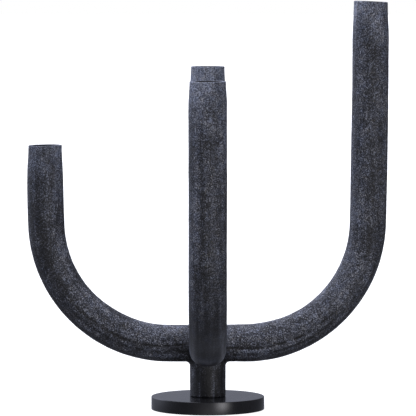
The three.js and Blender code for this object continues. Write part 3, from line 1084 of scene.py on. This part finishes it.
def cast_material():
    """Dark grey cast metal: salt-and-pepper grain, mottling, streaks along the tubes, light specks that
    are partly painted glints, dark creases, lighter where it is rubbed, and painted shade and
    highlights."""
    material, tree = new_material("rough_cast_metal")
    place = object_place(tree)
    crease, wear_and_highlight, shade = parts(tree, stored_vector(tree, "patina_and_painted_light"))
    grain_share, streak_share, groove = parts(tree, stored_vector(tree, "texture"))
    straight = stored_vector(tree, "straight")
    stretched = vector_maths(tree, "MULTIPLY", straight, STREAK_STRETCH, "Vector")

    grain = centred_noise(tree, place, GRAIN_NOISE, grain_share)
    mottle = centred_noise(tree, place, MOTTLE_NOISE, grain_share)
    streak = centred_noise(tree, stretched, STREAK_NOISE, streak_share)
    cloud = centred_noise(tree, place, CLOUD_NOISE)
    terms = [(grain, GRAIN_TONE), (mottle, MOTTLE_TONE), (cloud, CLOUD_TONE)]
    terms += [(streak, STREAK_TONE), (wear_and_highlight, WEAR_AND_HIGHLIGHT_TONE), (crease, CREASE_TONE)]
    terms += [(shade, SHADE_TONE), (groove, GROOVE_TONE)]
    tone = maths(tree, "ADD", weighted(tree, terms), MIDDLE_TONE)

    speck = specks(tree, place, maths(tree, "SUBTRACT", grain_share, shade, True))
    speckled = mixed(tree, speck, ramp(tree, tone, TONES), SPECK_COLOUR)
    tint_place = weighted(tree, [(noise_at(tree, place, *TINT_NOISE), 1.0), (wear_and_highlight, WORN_AND_HIGHLIGHT_TINT)])
    colour = mixed(tree, 1.0, speckled, ramp(tree, tint_place, TINTS), blend_type="MULTIPLY")
    rough = weighted(tree, [(mottle, -0.3), (grain, -0.2), (grain_share, 0.27)])
    rough = maths(tree, "ADD", rough, 0.3)
    finish_surface(tree, colour, rough, grain, 0.8, 0.0007)
    return material


def coated_material():
    """Semi-gloss black powder coat with a faint orange peel and rubbed patches."""
    material, tree = new_material("semi_gloss_black_coat")
    place = object_place(tree)
    peel = noise_at(tree, place, 900, 2.0, 0.5)
    cloud = noise_at(tree, place, 60, 3.0, 0.6)
    colour = ramp(tree, cloud, [(0.3, (0.011, 0.011, 0.012)), (0.7, (0.018, 0.018, 0.020))])
    rough = between(tree, weighted(tree, [(cloud, 0.7), (peel, 0.3)]), 0.12, 0.24)
    finish_surface(tree, colour, rough, peel, 0.08, 0.0001)
    return material


def metal_material(name, dark, light, roughness, scale, metallic):
    """Plain metal with faint turning marks about the vertical."""
    material, tree = new_material(name)
    place = object_place(tree)
    stretched = vector_maths(tree, "MULTIPLY", place, (0.15, 0.15, 1), "Vector")
    marks = noise_at(tree, stretched, scale, 3.0, 0.6)
    cloud = noise_at(tree, place, 140, 2.0, 0.5)
    tone = weighted(tree, [(marks, 0.6), (cloud, 0.4)])
    colour = ramp(tree, tone, [(0.3, dark), (0.7, light)])
    rough = between(tree, tone, roughness - 0.1, roughness + 0.12)
    finish_surface(tree, colour, rough, marks, 0.15, 0.0001, Metallic=metallic)
    return material


def felt_material():
    material, tree = new_material("black_felt")
    place = object_place(tree)
    fibre = noise_at(tree, place, 1600, 4.0, 0.7)
    tuft = noise_at(tree, place, 300, 3.0, 0.6)
    tone = weighted(tree, [(fibre, 0.6), (tuft, 0.4)])
    colour = ramp(tree, tone, [(0.3, (0.006, 0.006, 0.007)), (0.7, (0.028, 0.028, 0.031))])
    finish_surface(tree, colour, 1.0, fibre, 0.6, 0.0003, Sheen_Weight=0.3, Sheen_Roughness=0.5)
    return material


def paint(piece, material):
    piece.data.materials.clear()
    piece.data.materials.append(material)


# ------------------------------------------------------------ studio and camera

STAGE_RADIUS = 14.0
CAMERA_DISTANCE = 4.427
CAMERA_ELEVATION = 4.2
CAMERA_LENS = 375.6
CAMERA_SENSOR = 36.0
TARGET = (0.0002, 0.0, 0.2063)

WHITE = (1, 1, 1)
COOL = (0.76, 0.805, 1.0)
PALE = (0.86, 0.875, 1.0)
NEUTRAL = (0.96, 0.95, 1.0)
AMBIENT = (0.09, 0.094, 0.11)
# azimuth from the camera to the right, elevation, tightness, strength and colour; they started from
# a fit to the photo's grey levels and were then set one by one
SOFTBOXES = (
    (0, 80, 6, 2.1, PALE),
    (240, 42, 7, 2.35, COOL),
    (190, 42, 10, 0.8, COOL),
    (250, 14, 12, 0.6, COOL),
    (30, -2, 48, 5.0, NEUTRAL),
    (10, -20, 8, 0.5, NEUTRAL),
    (180, -40, 5, 0.3, COOL),
)


def make_camera():
    camera = bpy.data.objects.new("camera", bpy.data.cameras.new("camera"))
    camera.data.lens = CAMERA_LENS
    camera.data.sensor_width = CAMERA_SENSOR
    camera.data.clip_end = 60
    elevation = math.radians(CAMERA_ELEVATION)
    back = (0, -math.cos(elevation), math.sin(elevation))
    camera.location = [TARGET[axis] + CAMERA_DISTANCE * back[axis] for axis in range(3)]
    camera.rotation_euler = (math.pi / 2 - elevation, 0, 0)
    bpy.context.collection.objects.link(camera)
    bpy.context.scene.camera = camera


def glowing(name, strength, diffuse=None):
    """A white surface that looks evenly lit, so that it can stand for a studio sweep."""
    material, tree = new_material(name)
    shader = add(tree, "ShaderNodeEmission", {"Color": (*WHITE, 1), "Strength": strength})
    if diffuse is not None:
        matte = add(tree, "ShaderNodeBsdfDiffuse", {"Color": (diffuse, diffuse, diffuse, 1)})
        both = {0: shader.outputs[0], 1: matte.outputs[0]}
        shader = add(tree, "ShaderNodeAddShader", both)
    finish_material(tree, shader)
    material.cycles.emission_sampling = "NONE"
    return material


def stage_piece(name, material):
    """Makes the new object part of the stage, which only the camera sees."""
    stage = bpy.context.object
    stage.name = name
    paint(stage, material)
    stage.visible_diffuse = False
    stage.visible_glossy = False
    stage.visible_transmission = False
    stage.visible_volume_scatter = False
    stage.visible_shadow = False


def make_stage():
    bpy.ops.mesh.primitive_circle_add(vertices=96, radius=STAGE_RADIUS, fill_type="NGON")
    stage_piece("floor", glowing("pale_floor", 0.95, diffuse=0.5))
    bpy.ops.mesh.primitive_uv_sphere_add(segments=64, ring_count=32, radius=STAGE_RADIUS)
    stage_piece("backdrop", glowing("pale_backdrop", 1.0))


def make_world():
    """Soft studio light painted on the dome: large softboxes overhead and behind, weak fill."""
    world = bpy.data.worlds.new("studio")
    bpy.context.scene.world = world
    world.use_nodes = True
    tree = world.node_tree
    tree.nodes.clear()
    direction = add(tree, "ShaderNodeTexCoord").outputs["Generated"]
    light = add(tree, "ShaderNodeBackground", {"Color": (*AMBIENT, 1), "Strength": 1.0}).outputs[0]
    for azimuth, elevation, tightness, strength, colour in SOFTBOXES:
        across, up = math.radians(azimuth), math.radians(elevation)
        centre = (math.cos(up) * math.sin(across), -math.cos(up) * math.cos(across), math.sin(up))
        facing = vector_maths(tree, "DOT_PRODUCT", direction, centre, "Value")
        falling = maths(tree, "MULTIPLY", maths(tree, "SUBTRACT", facing, 1.0), tightness)
        power = maths(tree, "MULTIPLY", maths(tree, "EXPONENT", falling, 0.0), strength)
        glow = add(tree, "ShaderNodeBackground", {"Color": (*colour, 1), "Strength": power})
        light = add(tree, "ShaderNodeAddShader", {0: light, 1: glow.outputs[0]}).outputs[0]
    add(tree, "ShaderNodeOutputWorld", {"Surface": light})


# ------------------------------------------------------------ assembly

make_camera()
make_world()
make_stage()

cast = cast_material()
coated = coated_material()
cup_steel = metal_material("blackened_steel", (0.008, 0.008, 0.009), (0.03, 0.03, 0.032), 0.5, 900, 0.2)
zinc = metal_material("zinc_plated_steel", (0.45, 0.46, 0.48), (0.62, 0.63, 0.64), 0.38, 1400, 1.0)

for side, arm in ARMS.items():
    paint(cast_arm(side, arm), cast)
    paint(candle_cup(side, arm), cup_steel)
paint(cast_hub(), cast)
paint(cast_stem(), cast)
paint(base_plate(), coated)
paint(felt_pad(), felt_material())

HIDDEN_METAL = [f"{side}_joint_sleeve" for side in ARMS]
HIDDEN_METAL += ["stem_joint_sleeve", "stem_plug", "base_screw", "spring_washer", "flat_washer"]
for node in HIDDEN_METAL:
    paint(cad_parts[node], zinc)

bpy.context.scene.view_settings.view_transform = "Standard"
